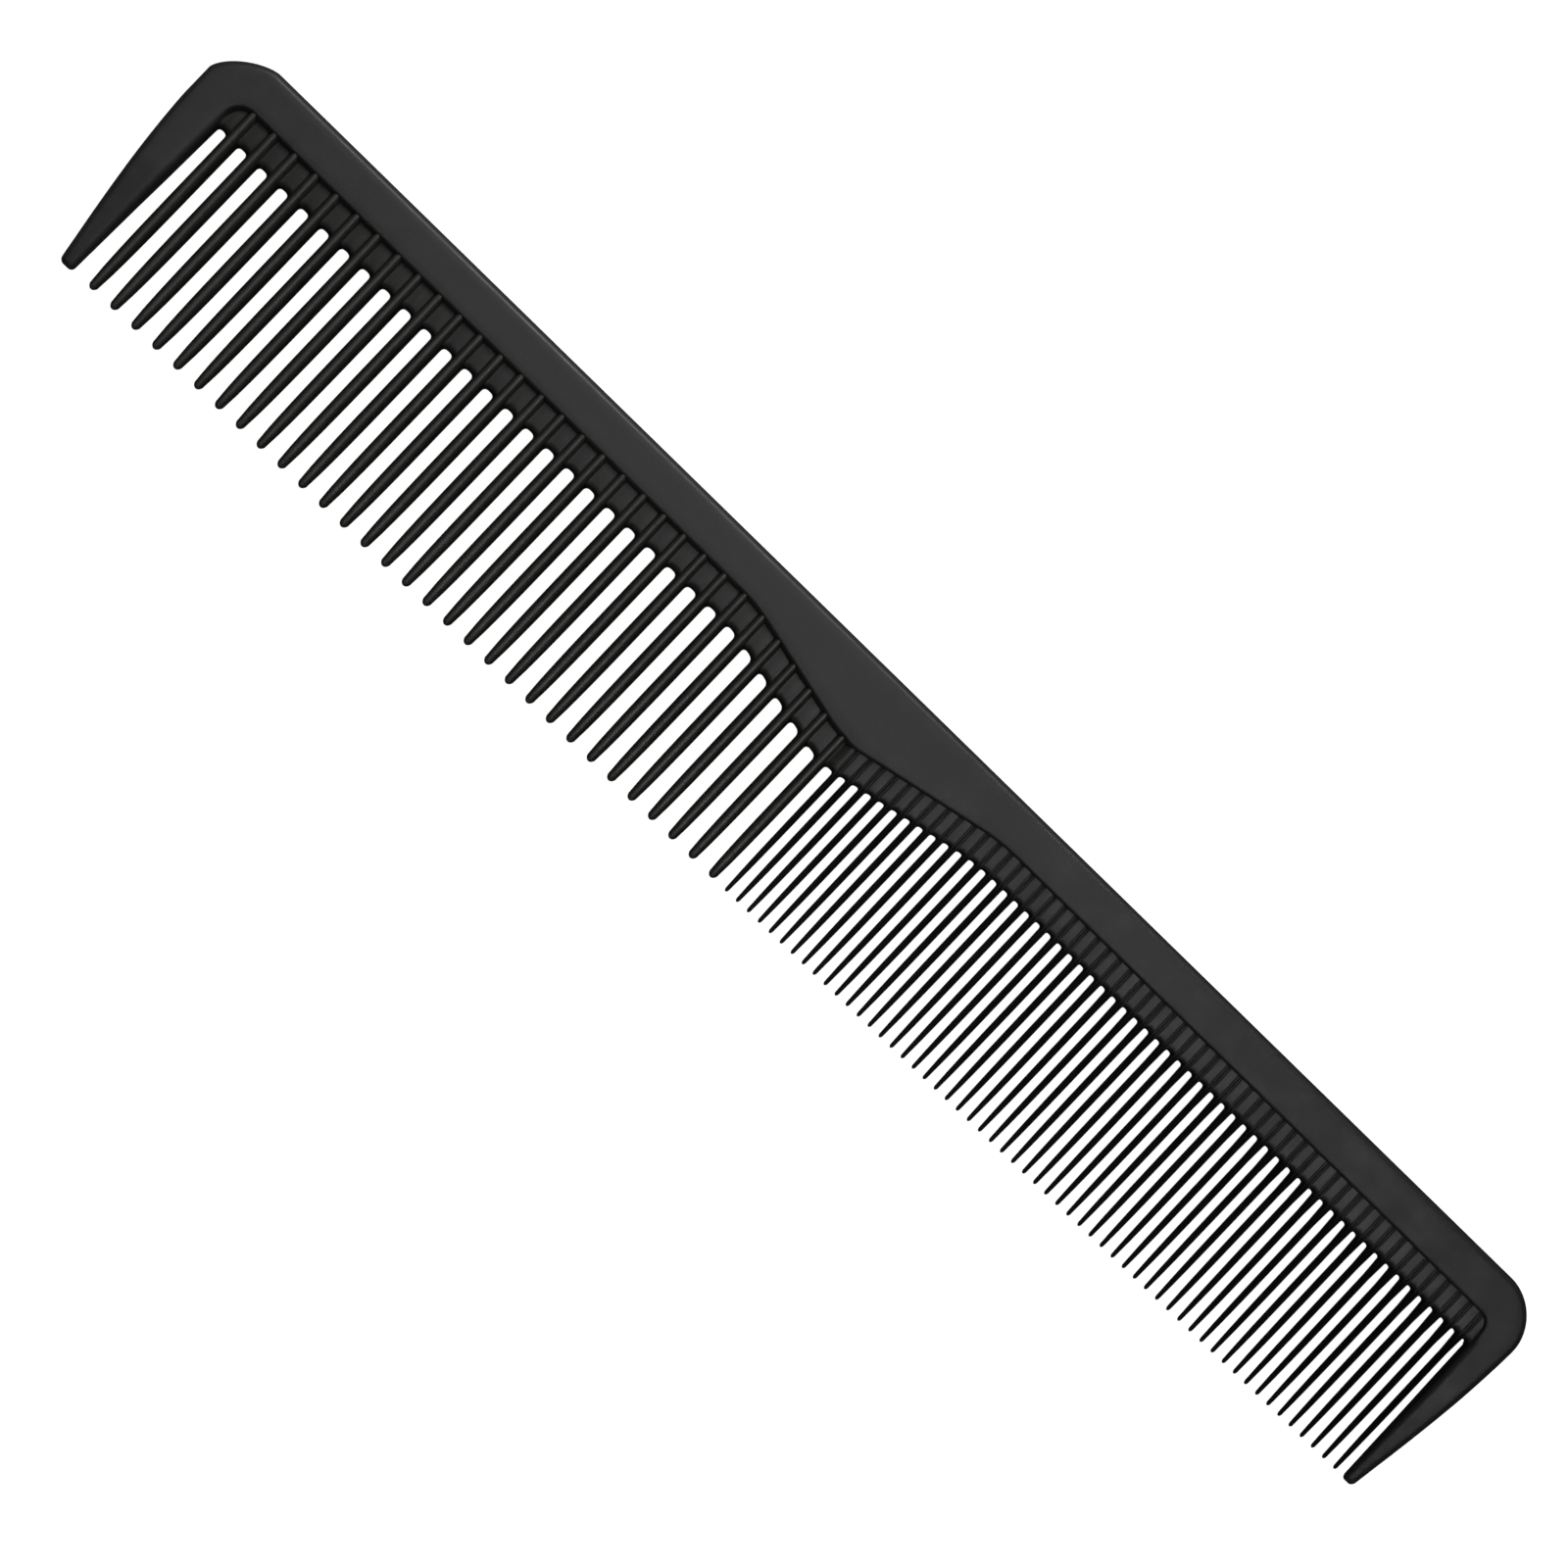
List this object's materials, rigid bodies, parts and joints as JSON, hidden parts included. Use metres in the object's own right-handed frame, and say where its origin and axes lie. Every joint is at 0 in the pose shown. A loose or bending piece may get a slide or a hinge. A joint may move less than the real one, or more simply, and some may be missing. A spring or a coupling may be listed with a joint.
{
  "type": "hair comb",
  "caption": "Flat one-piece cutting comb: wide-set coarse teeth on one half, fine teeth on the other, a sloping back and a guard tooth at each end.",
  "frame": {"origin": "on the surface that the comb lies on, under the middle of its bounding box", "axes": "+X along the comb from the coarse end to the fine end, +Y across it from the tooth tips to the back, +Z out of the upper face"},
  "size_m": [0.178, 0.0278, 0.004],
  "materials": {
    "spine_plastic": "satin moulded charcoal plastic, finely matted, smoother along the rounded back",
    "guard_plastic": "the same satin moulded charcoal plastic",
    "tooth_plastic": "the same satin charcoal plastic, drawn smooth along each tooth by the mould"
  },
  "bodies": {
    "root": {"coarse_tooth_01": "tooth_plastic", "coarse_tooth_02": "tooth_plastic", "coarse_tooth_03": "tooth_plastic", "coarse_tooth_04": "tooth_plastic", "coarse_tooth_05": "tooth_plastic", "coarse_tooth_06": "tooth_plastic", "coarse_tooth_07": "tooth_plastic", "coarse_tooth_08": "tooth_plastic", "coarse_tooth_09": "tooth_plastic", "coarse_tooth_10": "tooth_plastic", "coarse_tooth_11": "tooth_plastic", "coarse_tooth_12": "tooth_plastic", "coarse_tooth_13": "tooth_plastic", "coarse_tooth_14": "tooth_plastic", "coarse_tooth_15": "tooth_plastic", "coarse_tooth_16": "tooth_plastic", "coarse_tooth_17": "tooth_plastic", "coarse_tooth_18": "tooth_plastic", "coarse_tooth_19": "tooth_plastic", "coarse_tooth_20": "tooth_plastic", "coarse_tooth_21": "tooth_plastic", "coarse_tooth_22": "tooth_plastic", "coarse_tooth_23": "tooth_plastic", "coarse_tooth_24": "tooth_plastic", "coarse_tooth_25": "tooth_plastic", "coarse_tooth_26": "tooth_plastic", "coarse_tooth_27": "tooth_plastic", "coarse_tooth_28": "tooth_plastic", "coarse_tooth_29": "tooth_plastic", "coarse_tooth_30": "tooth_plastic", "coarse_tooth_31": "tooth_plastic", "fine_teeth_01": "tooth_plastic", "fine_teeth_02": "tooth_plastic", "fine_teeth_03": "tooth_plastic", "fine_teeth_04": "tooth_plastic", "fine_teeth_05": "tooth_plastic", "fine_teeth_06": "tooth_plastic", "fine_teeth_07": "tooth_plastic", "fine_teeth_08": "tooth_plastic", "fine_teeth_09": "tooth_plastic", "fine_teeth_10": "tooth_plastic", "fine_teeth_11": "tooth_plastic", "fine_teeth_12": "tooth_plastic", "fine_teeth_13": "tooth_plastic", "fine_teeth_14": "tooth_plastic", "guard_coarse_end": "guard_plastic", "guard_fine_end": "guard_plastic", "spine_coarse_half": "spine_plastic", "spine_fine_half": "spine_plastic"}
  },
  "joints": []
}
